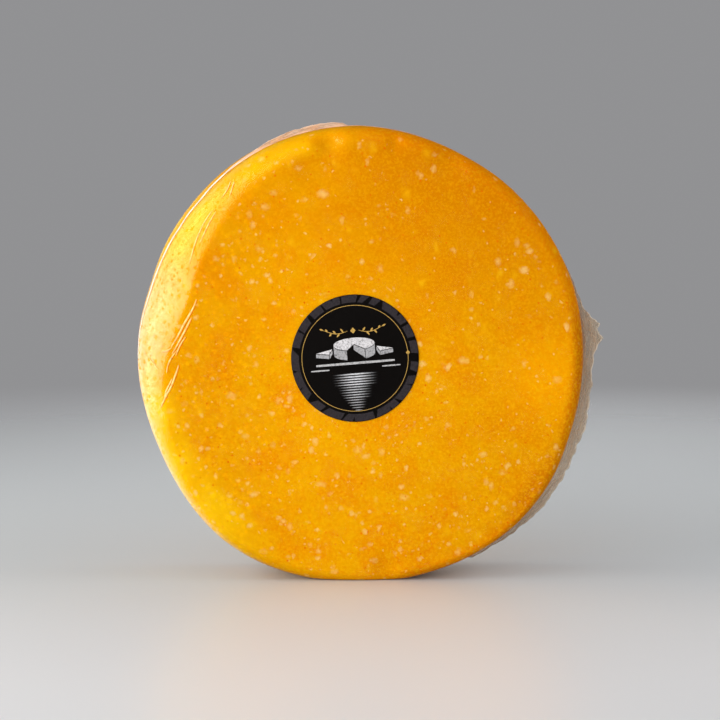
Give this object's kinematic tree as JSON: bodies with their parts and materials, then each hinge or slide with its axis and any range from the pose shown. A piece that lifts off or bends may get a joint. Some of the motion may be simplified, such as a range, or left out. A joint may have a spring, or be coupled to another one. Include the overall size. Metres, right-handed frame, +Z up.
{
  "type": "cheese wheel",
  "caption": "Whole wheel of orange cheese in a tight clear film with a loose welded edge, standing on its rim, with a round label on the front.",
  "frame": {"origin": "middle of the flat spot on the rim that the wheel stands on", "axes": "+Z up, +Y along the wheel's axis from its labelled front to its back, +X to the right as seen from the front"},
  "size_m": [0.2629, 0.0608, 0.2533],
  "materials": {
    "cheese": "satin orange cheese with pale flecks under tight clear film",
    "film": "glossy clear crinkled film",
    "label": "satin printed black paper"
  },
  "bodies": {
    "root": {"cheese": "cheese", "film_fringe": "film", "label": "label"}
  },
  "joints": []
}
